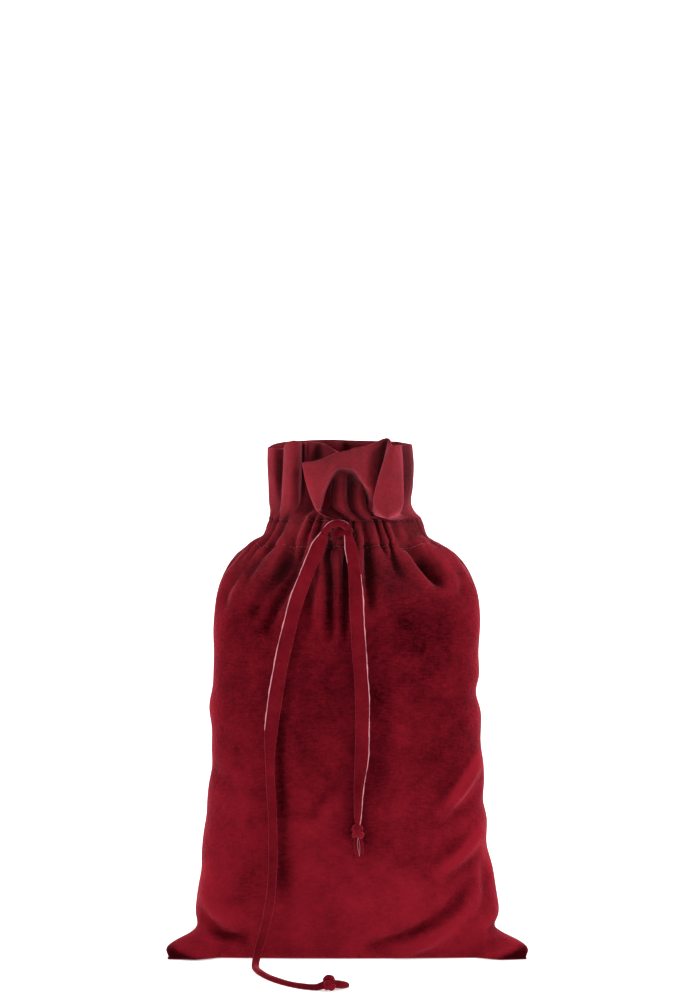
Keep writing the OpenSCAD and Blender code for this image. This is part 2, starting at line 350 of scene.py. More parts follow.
def tail(name, route, knot, around, rolled, past_knot, body):
    """A folded velvet strip, up to its knot, with its pale raw edges along one side.

    around gives where the raw edges are on the strip, in degrees: 0 at its left side as
    seen from the front, 90 at its back and 180 at its right. rolled says how far the
    strip is rolled up lengthways. past_knot makes the strip's end and its cut edges.
    """
    points = np.array(route, float)
    line = smooth_curve(points, int(length_of(points) / 3))
    stop = int(np.argmin(norm(line[:, :3] - knot))) + 1
    centres, angle = line[:stop, :3], np.radians(line[:stop, 3])
    at = np.linspace(0, length_of(centres), stop)
    facing = np.stack([np.zeros(stop), -np.cos(angle), np.sin(angle)], axis=1)
    side = np.cross(unit(np.gradient(centres, axis=0)), facing)
    lean = np.radians(7 * np.sin(at / 46 + 1))[:, None]
    facing = facing * np.cos(lean) + side * np.sin(lean)
    # it is squeezed where it enters its knot and where it leaves the half knot
    squeeze = 1 - 0.55 * hump(norm(centres - knot), 12)
    squeeze = squeeze * (1 - 0.35 * hump(at, 9))
    roll = rolled(centres[:, 2])
    width = STRIP_WIDTH * squeeze * (1 - 0.36 * roll) * (1 + 0.03 * np.sin(at / 9.0))
    thick = STRIP_THICK * (2 - squeeze) * (1 + 0.4 * roll) * (1 + 0.06 * np.sin(at / 6.1))
    rings, across, face = swept(centres, facing, width, thick, squareness=0.85)
    strip_parts = [tube_mesh(clear_of_floor(rings))]
    # two raw edges lie one on the other along the side
    edge_parts = []
    turn = np.radians(around(centres[:, 2]))
    for layer in (-0.4, 0.4):
        wobble = 0.2 * np.sin(at / 2.3 + 2 * layer) + 0.25 * np.sin(at / 11 + layer)
        aside = np.cos(turn) * (width / 2 - 0.15 + wobble)
        behind = -np.sin(turn) * (thick / 2 - 0.1) + layer * np.cos(turn)
        edge_line = centres + across * aside[:, None] + face * behind[:, None]
        rings, _, _ = swept(edge_line, facing, 1.1 + 0.3 * np.sin(at / 5.3), 0.8, sides=6)
        edge_parts.append(tube_mesh(clear_of_floor(rings)))
    ends, cut_edges = past_knot(smooth_curve(line[stop - 1:, :3], END_SAMPLES), facing[-1])
    pieces = [make_object(name, *joined(strip_parts + ends), STRIP),
              make_object(f"{name}_raw_edge", *joined(edge_parts + cut_edges), RAW_EDGE)]
    return *(hand_over(piece, body) for piece in pieces), line[:, :3]


def parted_ends(line, facing):
    """The strip's two layers part, and end in cut tips."""
    side = unit(np.cross(unit(line[-1] - line[0]), facing))
    bow = 3.2 * np.sin(np.linspace(0.15, math.pi - 0.5, END_SAMPLES))[:, None]
    layers, cut_edges = [], []
    for hand in (-1, 1):
        layer = (line + side * bow * hand)[:END_SAMPLES - 2 + hand]
        layers.append(tube(layer, facing, 4.2, 2.4, sides=10))
        cut_edges.append(tube(layer[-3:] + facing * 0.2, facing, 2.2, 1.6, sides=8))
        cut_edges.append(tube(layer[2:] - side * 1.7 * hand, facing, 1.1, 1.4, sides=6))
    return layers, cut_edges


def folded_stub(line, facing):
    """The strip stays folded in a stub, and shows its cut end."""
    swell = 1 + 0.15 * np.sin(np.linspace(0, math.pi, END_SAMPLES))
    stub, _, _ = swept(line, facing, 9.0 * swell, 7.0 * swell, squareness=0.9)
    cut, _, _ = swept(line[-3:], facing, 7.6, 5.8, squareness=0.9)
    cut += line[-1] - line[-2]
    return [tube_mesh(clear_of_floor(stub))], [tube_mesh(clear_of_floor(cut))]


def overhand(name, centre, axis, size, body, node):
    """A pulled-tight overhand knot: a fat strand along a small trefoil."""
    t = np.linspace(0, 2 * math.pi, 96, endpoint=False)
    x = np.sin(t) + 1.6 * np.sin(2 * t)
    y = np.cos(t) - 1.6 * np.cos(2 * t)
    z = -1.15 * np.sin(3 * t)
    line = np.stack([x, y, z], axis=1) * size / 7.2
    axis, centre = unit(np.array(axis, float)), np.array(centre, float)
    side = unit(np.cross(axis, (0.3, 0.2, 0.9)))
    up = np.cross(axis, side)
    centres = centre + line[:, :1] * side + line[:, 1:2] * up + line[:, 2:] * axis
    closed = np.vstack([centres, centres[:1]])
    outward = unit(centres - centre + 1e-3)
    width = size * 0.46 * (1 + 0.08 * np.sin(5 * t))
    rings, _, _ = swept(closed, np.vstack([outward, outward[:1]]),
                        np.append(width, width[0]), size * 0.34, sides=12, squareness=0.9)
    knot = make_object(name, *tube_mesh(clear_of_floor(rings)), KNOT_PAINTED_LIGHT)
    return hand_over(knot, body, node)


def step_down(z, height, spread):
    """0 well above a height and 1 well below it."""
    return 1 / (1 + np.exp(-(height - z) / spread))


left, left_edge, left_line = tail(
    "velvet_tail_left", LEFT_ROUTE, LEFT_KNOT,
    # half way down, the raw edges go to the strip's back
    around=lambda z: 128 * step_down(z, 243, 4),
    # below that it is rolled up lengthways, and so it lies on the floor
    rolled=lambda z: step_down(z, 238, 7) * (1 + 0.35 * step_down(z, 20, 8)),
    past_knot=folded_stub, body="left_drawstring_tail")
right, right_edge, right_line = tail(
    "velvet_tail_right", RIGHT_ROUTE, RIGHT_KNOT,
    # below the half knot, the raw edges go from the strip's left side to its right
    around=lambda z: 180 * step_down(z, 424, 3),
    # it is rolled up at both of its ends
    rolled=lambda z: 0.6 * (1 - step_down(z, 425, 12)) + 1.5 * step_down(z, 192, 14),
    past_knot=parted_ends, body="right_drawstring_tail")
left_knot = overhand("left_overhand_knot", LEFT_KNOT, (1, 0.3, 0), 16.5,
                     "left_drawstring_tail", "left_end_knot")
right_knot = overhand("right_overhand_knot", RIGHT_KNOT, (1, 0.5, 0.1), 16,
                      "right_drawstring_tail", "right_end_knot")
for strip, node, line, others in ((left, "left_tail", left_line, [left_edge, left_knot]),
                                  (right, "right_tail", right_line, [right_edge, right_knot])):
    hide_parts(node)
    length_of(line) * MM
    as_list(others)

# ---- the sack's shape
PANEL = 120  # cells across one panel
AROUND = 2 * PANEL
ROW, COLUMN = 4.2, 3.05  # height and width of a cell
CHANNEL_FOOT = 11  # levels of the channel's two stitch lines
CHANNEL_HEAD = 12

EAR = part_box("front_panel")[1][0] / MM
TOP = 566.0
BODY_X, BODY_Y = 149.0, 79.0
NECK_X, NECK_Y = 83.0, 44.0
HEADING, CHANNEL = 90, 28  # heights
NECK_Z = TOP - HEADING
CHANNEL_Z = NECK_Z - CHANNEL

# as in the CAD model: side seam x, y, z; front middle y, z; back middle y, z; squareness
LEVELS = np.array([
    (EAR, -0.58 * BODY_Y, 0, -0.72 * BODY_Y, 0, -0.72 * BODY_Y, 0, 0.5),
    (0.95 * EAR, -0.4 * BODY_Y, 15, -0.83 * BODY_Y, 24, -0.1 * BODY_Y, 0, 0.5),
    (0.865 * EAR, -0.15 * BODY_Y, 28, -0.91 * BODY_Y, 57, 0.58 * BODY_Y, 2, 0.6),
    (1.11 * BODY_X, 0, 0.13 * CHANNEL_Z, -0.97 * BODY_Y, 98, 0.89 * BODY_Y, 28, 0.75),
    (1.07 * BODY_X, 0, 0.25 * CHANNEL_Z, -BODY_Y, 148, 0.99 * BODY_Y, 86, 0.9),
    *((x, 0, z, -y, front_z, y, back_z, 1) for x, z, y, front_z, back_z in (
        (1.03 * BODY_X, 0.38 * CHANNEL_Z, BODY_Y, 200, 150),
        (BODY_X, 0.51 * CHANNEL_Z, 0.99 * BODY_Y, 250, 216),
        (0.99 * BODY_X, 0.65 * CHANNEL_Z, 0.95 * BODY_Y, 298, 282),
        (0.99 * BODY_X, 0.77 * CHANNEL_Z, 0.89 * BODY_Y, 347, 341),
        (0.965 * BODY_X, 0.88 * CHANNEL_Z, 0.81 * BODY_Y, 394, 394),
        (0.89 * BODY_X, CHANNEL_Z - 24, 0.73 * BODY_Y, CHANNEL_Z - 24, CHANNEL_Z - 24),
        (1.29 * NECK_X, CHANNEL_Z, 1.16 * NECK_Y, CHANNEL_Z, CHANNEL_Z),
        (1.01 * NECK_X, NECK_Z, 0.98 * NECK_Y, NECK_Z, NECK_Z),
        (0.98 * NECK_X, NECK_Z + 29, 0.95 * NECK_Y, NECK_Z + 29, NECK_Z + 29))),
])


def level(v):
    """The values of LEVELS at a level between two rows."""
    k = min(int(v), len(LEVELS) - 2)
    after = LEVELS[min(k + 2, len(LEVELS) - 1)]
    return spline(LEVELS[max(k - 1, 0)], LEVELS[k], LEVELS[k + 1], after, v - k)


def section(front, v, u):
    """The filled sack's outline at level v, for u from -1 at the left seam to 1."""
    s = level(v)
    roundness = min(v / 4, 1)
    across = u * (1 - roundness) + np.sin(math.pi / 2 * u) * roundness
    outward = np.maximum(np.cos(math.pi / 2 * u), 0) ** s[7]
    middle_y, middle_z = (s[3], s[4]) if front else (s[5], s[6])
    x = s[0] * across
    y = s[1] + (middle_y - s[1]) * outward
    z = np.maximum(0, s[2] + (middle_z - s[2]) * outward)
    return np.stack([x, y, z], axis=1)


def body_rows():
    """Levels of the rows, about ROW apart along the sack."""
    fine = np.linspace(0, CHANNEL_HEAD, 1201)
    run = np.zeros(len(fine))
    for front in (True, False):
        line = np.array([section(front, v, np.array([0.0]))[0] for v in fine])
        run[1:] += np.cumsum(norm(np.diff(line, axis=0))) / 2
    count = round(run[-1] / ROW) + 1
    return np.interp(np.linspace(0, run[-1], count), run, fine)


def arch_column(low_x, x, depth, arch_z, hem_z):
    """A column that runs up a gather under the arch, out under it, and up the flap."""
    return [(low_x, depth, 491), ((low_x + x) / 2, depth - 1, arch_z - 11),
            (x, -57, arch_z - 3), (x, -75, arch_z), (x, -82, arch_z + 7), (x, -81, hem_z)]


ARCH = [arch_column(*values) for values in (
    (-26, -24, -43, 511, 542), (-21, -20, -37, 521, 544), (-16, -15, -39, 528, 546),
    (-9, -11, -50, 532, 547), (-2, -6, -50, 533, 549), (2, 0, -37, 533, 550),
    (7, 5, -40, 532, 552), (14, 10, -50, 528, 553), (20, 15, -45, 521, 554),
    (22, 20, -37, 514, 555))]

# The heading's folds. Each column runs up from just above the channel to the hem, and
# the columns go from the left seam across the front to the right one.
FRONT_HEADING = [
    # the flat face on the left, and its crease
    [(-88, 0, 493), (-89, 0, 515), (-90, 0, 535), (-90, 1, 555)],
    [(-79, -15, 493), (-80, -16, 515), (-81, -16, 535), (-81, -15, 554)],
    [(-73, -20, 493), (-72, -12, 515), (-71, -10, 535), (-71, -9, 554)],
    # a rounded pleat
    [(-72, -31, 493), (-71, -32, 515), (-70, -33, 535), (-69, -31, 558)],
    [(-64, -43, 493), (-62, -47, 515), (-61, -48, 538), (-60, -45, 562)],
    [(-55, -39, 493), (-53, -39, 515), (-52, -38, 538), (-51, -35, 561)],
    [(-51, -29, 493), (-50, -16, 515), (-49, -13, 538), (-49, -12, 560)],
    # two folds that stand behind the flap
    [(-45, -27, 493), (-44, -22, 515), (-43, -27, 538), (-42, -31, 561)],
    [(-37, -22, 493), (-36, -14, 515), (-33, -18, 538), (-32, -21, 560)],
    [(-31, -28, 493), (-29, -22, 515), (-25, -26, 538), (-23, -30, 557)],
    [(-24, -31, 492), (-22, -27, 513), (-17, -31, 533), (-14, -36, 551)],
    [(-22, -38, 491), (-20, -37, 511), (-15, -42, 530), (-13, -46, 549)],
    [(-27, -44, 489), (-29, -48, 506), (-32, -54, 522), (-32, -58, 540)],
    # the flap, which hangs out over the gathers like an awning
    [(-31, -50, 485), (-38, -61, 500), (-43, -67, 517), (-46, -69, 535)],
    [(-31, -56, 485), (-38, -71, 498), (-44, -77, 517), (-48, -77, 537)],
    [(-27, -50, 485), (-29, -69, 491), (-33, -80, 505), (-36, -83, 520), (-38, -82, 538)],
    *ARCH,
    [(25, -42, 487), (26, -47, 494), (27, -59, 500), (28, -70, 508), (30, -72, 530),
     (31, -72, 559)],
    [(28, -43, 485), (29, -52, 494), (33, -60, 512), (38, -62, 535), (43, -63, 564)],
    # the roll on the right, which hangs over the channel
    [(31, -46, 481), (29, -66, 487), (28, -79, 497), (33, -82, 519), (40, -82, 540),
     (46, -77, 557)],
    [(44, -50, 478), (43, -76, 478), (43, -89, 485), (45, -92, 505), (49, -90, 535),
     (51, -84, 556)],
    [(57, -50, 481), (58, -68, 486), (60, -78, 496), (60, -77, 515), (60, -71, 537),
     (59, -67, 556)],
    [(56, -44, 485), (58, -52, 495), (58, -49, 515), (57, -45, 536), (56, -43, 556)],
    [(59, -36, 490), (59, -26, 505), (59, -22, 520), (59, -20, 538), (59, -20, 557)],
    # the part set back on the right
    [(68, -20, 490), (69, -17, 515), (69, -15, 536), (67, -14, 558)],
    [(73, 0, 493), (75, 0, 515), (76, 0, 536), (74, 1, 559)],
]
# The back's folds at the hem, from the right seam to the left
BACK_HEM = [(74, 1, 559), (66, 22, 561), (57, 41, 563), (46, 29, 563), (30, 46, 564),
            (17, 37, 564), (-3, 49, 565), (-20, 28, 565), (-37, 46, 565), (-51, 37, 564),
            (-68, 39, 563), (-82, 19, 560), (-90, 1, 555)]
HEADING_ROWS = 30


def through(points, at):
    """Places on a smooth curve through the points. 1.5 is half way from point 1 to 2."""
    p = np.concatenate([2 * points[:1] - points[1:2], points, 2 * points[-1:] - points[-2:-1]])
    k = np.minimum(at.astype(int), len(points) - 2)
    return spline(p[k], p[k + 1], p[k + 2], p[k + 3], (at - k)[:, None])


def back_heading():
    """Columns of the back's heading, whose folds grow from the channel up to the hem."""
    columns = []
    for x, y, z in BACK_HEM:
        oval_y = 42 * math.sqrt(max(0, 1 - ((x + 7) / 88) ** 2))
        rise = z - 493
        columns.append([(x * (1 - 0.03 * (1 - up)), oval_y + (y - oval_y) * fold, 493 + rise * up)
                        for up, fold in ((0, 0.3), (0.35, 0.6), (0.7, 0.9), (1, 1))])
    columns[0] = FRONT_HEADING[-1]
    columns[-1] = FRONT_HEADING[0]
    return columns


def heading_rows(foot):
    """The heading's grid, by its columns up from the channel's top row."""
    ring = []
    for columns, base in ((FRONT_HEADING, foot[:PANEL + 1]),
                          (back_heading(), np.vstack([foot[PANEL:], foot[:1]]))):
        rough = np.array([resample(np.array(c, float), 4) for c in columns])
        step = norm(np.diff(rough, axis=0)).mean(1)
        place = np.concatenate([[0], np.cumsum(step)]) / step.sum() * PANEL
        start = np.stack([np.interp(place, np.arange(PANEL + 1), base[:, k])
                          for k in range(3)], axis=1)
        lines = np.array([smooth_curve(np.vstack([s[None], c]), HEADING_ROWS + 1)
                          for s, c in zip(start, columns)])
        at = np.interp(np.arange(PANEL), place, np.arange(len(columns)))
        ring.append(np.stack([through(lines[:, r], at)
                              for r in range(1, HEADING_ROWS + 1)], axis=1))
    return np.concatenate(ring, axis=0)


def target_shape():
    """The grid laid in the filled shape, as around by up by xyz, and its row levels."""
    u = np.linspace(-1, 1, 801)
    rows = []
    levels = body_rows()
    for v in levels:
        front = resample(section(True, v, u), PANEL + 1)
        back = resample(section(False, v, u)[::-1], PANEL + 1)
        rows.append(np.vstack([front[:-1], back[:-1]]))
    body = np.stack(rows, axis=1)
    heading = heading_rows(body[:, -1])
    above = CHANNEL_HEAD + 3 * np.arange(1, HEADING_ROWS + 1) / HEADING_ROWS
    levels = np.concatenate([levels, above])
    return np.concatenate([body, heading], axis=1), levels


def normals(x):
    """Outward normals of the grid."""
    along = np.roll(x, -1, axis=0) - np.roll(x, 1, axis=0)
    up = np.gradient(x, axis=1)
    return unit(np.cross(along, up))


# ---- listed folds laid in
FOLD_DEPTH = 1.25
# Folds pressed into the front: depth, half width, and the x and z of each point of a line
VALLEYS = [
    # the shoulders' deep folds
    (11, 7.5, -57, 450, -72, 422, -92, 396, -107, 366),
    (9, 7, -50, 438, -62, 408, -76, 386, -92, 350),
    (8, 7, -84, 448, -104, 426, -124, 396),
    (7, 7, -104, 436, -128, 408, -142, 370),
    (6, 6, -36, 448, -40, 418, -44, 370),
    (8, 5, -18, 452, -18, 410, -17, 345),
    (8, 5, -2, 450, -2, 405, -4, 335),
    (7, 6, 21, 450, 22, 420, 25, 375),
    (4, 6, 48, 449, 54, 430, 64, 408),
    (12, 7.5, 66, 447, 76, 437, 89, 425, 105, 405),
    (7, 6, 84, 430, 96, 418, 108, 402),
    (8, 6, 92, 447, 116, 421, 133, 386),
    # soft folds low on the right
    (3, 8, 150, 196, 128, 166, 104, 140),
    (7, 9, 30, 14, 70, 28, 108, 52, 142, 88),
    (5, 7, 152, 96, 153, 66, 146, 42),
    # soft folds low on the left
    (8, 7, -152, 40, -134, 26, -106, 24),
    (3, 8, -152, 205, -138, 190, -118, 184),
    (2, 9, -100, 150, -60, 160, -20, 156),
]
RIDGES = [
    (7, 7, -66, 446, -82, 414, -100, 378),
    (5, 6, -94, 442, -114, 418, -132, 386),
    (5, 6, -28, 448, -30, 410, -32, 350),
    (5, 5, -10, 450, -10, 405, -11, 340),
    (4, 5, 10, 450, 11, 410, 12, 360),
    (10, 8, 82, 449, 98, 439, 114, 422, 125, 398),
    (5, 9, 56, 444, 68, 424, 90, 402),
    (7, 7, 145, 209, 122, 180, 94, 152),
    (7, 7, 144, 133, 122, 112, 90, 88),
    (7, 9, 60, 10, 96, 28, 136, 60),
    (8, 10, -154, 66, -140, 50, -112, 42),
    (8, 6, -190, 16, -172, 8, -140, 5),
    (6, 6, 188, 16, 172, 10, 146, 6),
]

# The back has hung flat: a few folds from the gathers and soft ones towards the corners
BACK_VALLEYS = [
    (9, 8, -62, 450, -84, 420, -108, 372),
    (6, 7, -34, 450, -42, 410, -48, 350),
    (6, 7, 2, 450, 0, 400, -3, 340),
    (7, 7, 38, 450, 47, 412, 56, 356),
    (10, 8, 70, 448, 92, 416, 116, 366),
    (8, 12, -146, 120, -112, 96, -64, 84),
    (7, 11, 146, 170, 116, 140, 84, 122),
    (8, 11, 150, 90, 116, 66, 70, 52),
]
BACK_RIDGES = [
    (6, 8, -48, 450, -62, 414, -76, 366),
    (6, 8, 54, 450, 70, 414, 86, 362),
    (6, 12, -150, 100, -118, 74, -76, 62),
    (6, 11, 150, 146, 122, 118, 92, 100),
]

# Painted highlights and, after them, painted shade: given as the folds are, with the change in
# lightness first
PAINTED_HIGHLIGHTS = [
    (0.40, 4.5, 146, 217, 130, 196, 104, 164),
    (0.26, 5, 143, 184, 130, 172, 118, 164),
    (0.34, 4.5, 145, 136, 126, 116, 100, 96),
    (0.26, 5, 150, 120, 156, 100, 158, 84),
    (0.14, 8, -152, 310, -150, 250, -152, 190),
    (0.18, 9, -160, 96, -146, 70, -136, 52),
    (0.20, 8, -148, 370, -152, 320, -152, 250),
    (0.14, 14, -140, 60, -120, 44, -90, 38),
    (0.22, 4, -186, 13, -160, 5, -124, 0),
    (0.16, 4, 184, 15, 168, 9, 146, 4),
    (0.06, 20, 20, 60, 60, 70, 110, 90),
    (0.08, 22, -60, 110, -20, 90, 20, 86),
    (0.26, 9, 146, 390, 150, 330, 150, 260, 150, 190),
    (0.08, 5, -30, 150, -16, 170, 0, 188),
]
PAINTED_SHADE = [
    # painted shade under the ears of the bottom corners
    (0.75, 8, -208, 15, -188, 7, -166, 1, -138, -6),
    (0.70, 8, 208, 15, 190, 7, 172, 1, 148, -6),
    # painted shadows behind the tails and round the right tail's knot, then more painted shade
    # across the front
    (0.16, 13, 32, 320, 36, 240, 30, 165),
    (0.26, 12, 9, 172, 11, 145, 13, 112),
    (0.14, 12, -62, 136, -66, 92, -74, 58),
    (0.28, 5.5, -73, 262, -72, 190, -71, 120, -75, 60),
    (0.14, 10, -106, 92, -116, 68, -132, 52),
    (0.12, 5, -38, 158, -26, 178, -10, 198),
    (0.40, 7, 70, 558, 72, 525, 72, 492),
    (0.16, 24, -104, 428, -66, 418, -30, 430),
    (0.18, 22, 20, 436, 50, 424, 88, 430),
    (0.16, 15, -14, 448, -14, 410, -15, 356),
    (0.10, 30, -60, 300, -20, 290, 30, 300),
    (0.13, 25, 40, 390, 70, 360, 84, 300),
    (0.10, 20, -112, 345, -116, 280, -112, 215),
    (0.13, 13, 124, 124, 126, 92, 112, 60),
    (0.16, 7, -150, 30, -130, 24, -104, 24),
    (0.20, 6, 22, 15, 70, 29, 112, 50, 140, 86),
]


def press(x, lines, sign, side=-1, spill=0.0):
    """How far each point moves out for lines drawn on the front, or on the back at side 1.
    With some spill it takes in cloth that faces the side or lies flat as well."""
    depth = np.zeros(x.shape[:2])
    flat = x[..., [0, 2]]
    faces_it = clamped(side * normals(x)[..., 1] * 2 + spill)
    for amount, width, *points in lines:
        line = smooth_curve([(a, 0, b) for a, b in zip(points[::2], points[1::2])], 30)[:, [0, 2]]
        gap = np.full(x.shape[:2], 1e9)
        near = np.zeros(x.shape[:2])
        for k, p in enumerate(line):
            d = np.hypot(flat[..., 0] - p[0], flat[..., 1] - p[1])
            closer = d < gap
            gap = np.where(closer, d, gap)
            near = np.where(closer, k / (len(line) - 1), near)
        taper = np.sin(math.pi * clamped(near * 0.86 + 0.14)) ** 0.6
        depth += sign * amount * taper * hump(gap, width)
    return depth * faces_it


def slow_noise(rng, steps, reach):
    """Smooth random values around the grid, between -1 and 1 or so."""
    coarse = rng.standard_normal(steps)
    fine = np.interp(np.linspace(0, steps, AROUND, endpoint=False), np.arange(steps + 1),
                     np.append(coarse, coarse[0]))
    return blurred(fine[:, None, None] * np.ones((1, 3, 1)), reach)[:, 0, 0]


def gathers(levels):
    """Small pleats drawn up by the channel, as a height over the grid."""
    rng = np.random.default_rng(11)
    s = np.arange(AROUND) / AROUND
    fine = pleat(38 * s + 1.2 * slow_noise(rng, 22, 3))
    coarse = pleat(17 * s + 0.8 * slow_noise(rng, 11, 4) + 0.2)
    strength = np.clip(0.8 + 0.6 * slow_noise(rng, 26, 2), 0.25, 1.5)
    reach = np.clip(0.8 + 0.35 * slow_noise(rng, 16, 3), 0.35, 1.5)[:, None]
    below = np.clip(CHANNEL_FOOT - levels, 0, None)[None]
    above = np.clip(levels - CHANNEL_HEAD, 0, None)[None]
    inside = (levels > CHANNEL_FOOT) & (levels < CHANNEL_HEAD)
    puff = np.where(inside, np.sin(math.pi * clamped(levels - CHANNEL_FOOT)) ** 0.6, 0)
    fine_size = 4.6 * hump(below, 0.55 * reach) * hump(above, 0.3)
    coarse_size = 5.0 * np.minimum(below / 0.5, 1) * hump(below, 1.4 * reach)
    height = (fine * strength)[:, None] * fine_size + coarse[:, None] * coarse_size
    return height + 1.8 * puff[None] * (1 + 0.3 * (fine * strength)[:, None])


def cinched(x, levels):
    """The drawstring draws the channel's middle in at the sides."""
    middle = np.sin(math.pi * clamped(levels - CHANNEL_FOOT))
    return 9 * middle[None] * clamped(np.abs(x[..., 0]) / 95) ** 3


def pleat(turns):
    """A row of rounded ridges with sharper valleys, from -1 to 1."""
    return 2 * np.sqrt(np.cos(math.pi * turns) ** 2 + 0.03) - 1.05


# Puckers in the side seams: column, height, depth and half height
SIDE_PUCKERS = [(PANEL, 286, 9.0, 10.0), (PANEL, 166, 6.0, 12.0), (PANEL, 330, 3.5, 22.0),
                (PANEL, 120, 7.5, 20.0), (PANEL, 230, 2.5, 16.0), (0, 330, 1.5, 12.0),
                (0, 270, -6.0, 14.0), (0, 205, 2.5, 10.0), (0, 150, 2.0, 9.0),
                (0, 90, 2.5, 8.0)]


def from_seams():
    """How many columns each column is from the nearer side seam."""
    i = np.arange(AROUND)
    return np.minimum(np.minimum(i, np.abs(i - PANEL)), AROUND - i)


def side_shape(x, levels):
    """The sides stand out a little, but for their puckers."""
    near = hump(from_seams(), 12)[:, None]
    out = 2.6 * near * clamped(levels - 1.5) * clamped(CHANNEL_FOOT - 1 - levels)
    i = np.arange(AROUND)
    for column, height, depth, half in SIDE_PUCKERS:
        away = np.minimum(np.abs(i - column), AROUND - np.abs(i - column))[:, None]
        slant = x[..., 2] - height + 0.6 * away
        out = out - depth * hump(away, 11) * hump(slant, half)
    return out


def settled_corners(x):
    """The bottom corners' ears: pinched in above, and lying forward on the floor."""
    across, up = x[..., 0], x[..., 2]
    left, right = clamped((-140 - across) / 25), clamped((across - 140) / 25)
    far = np.abs(across)
    pinched = 9 * left * hump(up - 28, 8) + 14 * right * hump(up - 28, 7)
    drawn_in = 2 * clamped((far - 155) / 40)
    puffed = 7 * clamped((far - 160) / 25) * hump(up - 11, 6)
    past_tip = 0.8 * np.clip(far - 195, 0, None)
    x[..., 0] -= (right - left) * (pinched + drawn_in + past_tip - puffed)
    x[..., 1] -= 12 * (left + right) * hump(up, 12)
    return x


def unevenness(shape):
    """The slight waviness of cloth that has been handled."""
    rng = np.random.default_rng(4)
    field = np.zeros(shape + (1,))
    for reach, size in ((9, 9.0), (4, 1.6)):
        waves = rng.standard_normal(shape + (1,))
        for _ in range(3):
            waves = blurred(waves, reach)
        field += waves * size
    return field[..., 0]


# ---- the cloth's relaxing
STEPS, QUICK_STEPS = 120, 30
DROP = np.array([0, 0, -0.006])  # what gravity adds to the speed in one step
KEPT, FASTEST = 0.9, 1.0  # the share of its speed that it keeps, and the most
CLOTH_GAP = 0.7  # the outer face of the cloth over the floor
PULL_EVERY = 3  # steps from one pull to the laid shape to the next
BROAD_PULL, CLOSE_PULL, HEADING_PULL = 0.12, 0.03, 0.5


def blurred(field, reach):
    """A running mean over reach cells each way; the grid closes on itself around."""
    for axis in (0, 1):
        mode = "wrap" if axis == 0 else "edge"
        pad = [(0, 0)] * 3
        pad[axis] = (reach + 1, reach)
        run = np.cumsum(np.pad(field, pad, mode=mode), axis=axis)
        size = field.shape[axis]
        ahead = np.take(run, range(2 * reach + 1, size + 2 * reach + 1), axis=axis)
        behind = np.take(run, range(0, size), axis=axis)
        field = (ahead - behind) / (2 * reach + 1)
    return field


def drawn(a, b, rest, stiffness=1.0):
    """How far a moves towards b, and b towards a, to come back to their rest distance."""
    gap = b - a
    dist = np.maximum(norm(gap)[..., None], 1e-6)
    return gap * 0.5 * stiffness * (1 - rest[..., None] / dist)


def pull(x, phase, across_rest, up_rest):
    """Bring every other pair of neighbours, around and then up, back to its distance."""
    first = np.arange(phase, AROUND, 2)
    second = (first + 1) % AROUND
    move = drawn(x[first], x[second], across_rest[first])
    x[first] += move
    x[second] -= move
    first = np.arange(phase, x.shape[1] - 1, 2)
    move = drawn(x[:, first], x[:, first + 1], up_rest[:, first])
    x[:, first] += move
    x[:, first + 1] -= move


def shear(x, phase, lower, upper, rest):
    """Keep the grid's diagonals from collapsing, from lower rows to upper ones."""
    first = np.arange(phase, AROUND, 2)
    second = (first + 1) % AROUND
    move = drawn(x[first][:, lower], x[second][:, upper], rest[first], 0.25)
    x[first, lower] += move
    x[second, upper] -= move


def relax(x, levels, steps):
    """Let the cloth settle: fixed lengths, gravity, the floor, and a slow pull of its
    broad shape back towards the one it was laid in."""
    target = x.copy()
    beside = np.roll(x, -1, axis=0)
    across_rest, up_rest = norm(beside - x), norm(np.diff(x, axis=1))
    rising, falling = norm(beside[:, 1:] - x[:, :-1]), norm(beside[:, :-1] - x[:, 1:])
    below, above = slice(0, -1), slice(1, None)
    heading = clamped((levels - CHANNEL_FOOT + 0.4) / 0.4)[None, :, None]
    speed = np.zeros_like(x)
    for step in range(steps):
        before = x.copy()
        x = x + speed * KEPT + DROP
        for phase in (0, 1):
            pull(x, phase, across_rest, up_rest)
            shear(x, phase, below, above, rising)
            shear(x, phase, above, below, falling)
        if step % PULL_EVERY == 0:
            gap = target - x
            x += ((1 - heading) * (BROAD_PULL * blurred(gap, 3) + CLOSE_PULL * gap)
                  + HEADING_PULL * heading * gap)
        seam = 0.5 * (x[1:PANEL, 0] + x[:PANEL:-1, 0])
        x[1:PANEL, 0] = seam
        x[:PANEL:-1, 0] = seam
        x[..., 2] = np.maximum(x[..., 2], CLOTH_GAP)
        speed = x - before
        speed *= np.minimum(1, FASTEST / np.maximum(norm(speed)[..., None], 1e-9))
    return x


def laid_cloth(target, levels):
    """The filled shape with its folds, puckers, corners and gathers."""
    out = press(target, VALLEYS, -1) + press(target, RIDGES, 1)
    out += press(target, BACK_VALLEYS, -1, side=1) + press(target, BACK_RIDGES, 1, side=1)
    out *= FOLD_DEPTH
    out += unevenness(out.shape) * np.clip(CHANNEL_FOOT - levels, 0.3, 1)
    out += side_shape(target, levels)
    out -= cinched(target, levels)
    shaped = target + normals(target) * out[..., None]
    return settled_corners(shaped + normals(shaped) * gathers(levels)[..., None])


def softened(cloth, levels):
    """Take the sharpest creases out of the side seams and the body."""
    by_seam = hump(from_seams(), 12)[:, None]
    by_seam = by_seam * clamped((CHANNEL_FOOT - 1 - levels) * 2)
    by_seam = (by_seam * clamped(levels * 2 - 1))[..., None]
    for _ in range(2):
        cloth = cloth + 0.7 * by_seam * (blurred(cloth, 2) - cloth)
    body = clamped((CHANNEL_FOOT - 0.6 - levels) * 2) * clamped(levels * 2)
    return cloth + 0.5 * body[None, :, None] * (blurred(cloth, 1) - cloth)


